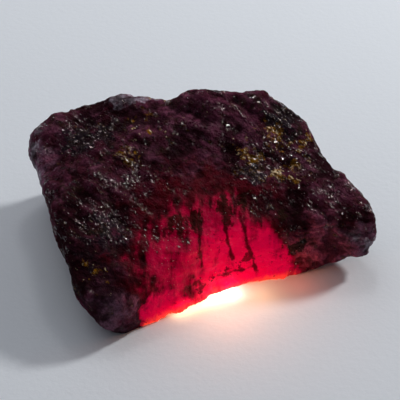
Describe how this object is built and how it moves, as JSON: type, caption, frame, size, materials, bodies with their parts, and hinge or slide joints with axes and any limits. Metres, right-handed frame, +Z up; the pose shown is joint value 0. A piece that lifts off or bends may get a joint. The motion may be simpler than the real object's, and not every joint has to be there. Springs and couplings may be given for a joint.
{
  "type": "rough ruby",
  "caption": "Loose uncut ruby: a flattish broken lump with worn ledges, a thick back edge and a flat underside to rest on.",
  "frame": {"origin": "middle of the bounding box in plan, on the surface that the stone lies on", "axes": "+Z up out of the flat underside, +X along the stone's greatest length towards its right tip, +Y towards its thick back edge"},
  "size_m": [0.03, 0.0224, 0.0102],
  "materials": {
    "ruby": "satin"
  },
  "bodies": {
    "root": {"rough_ruby": "ruby"}
  },
  "joints": []
}
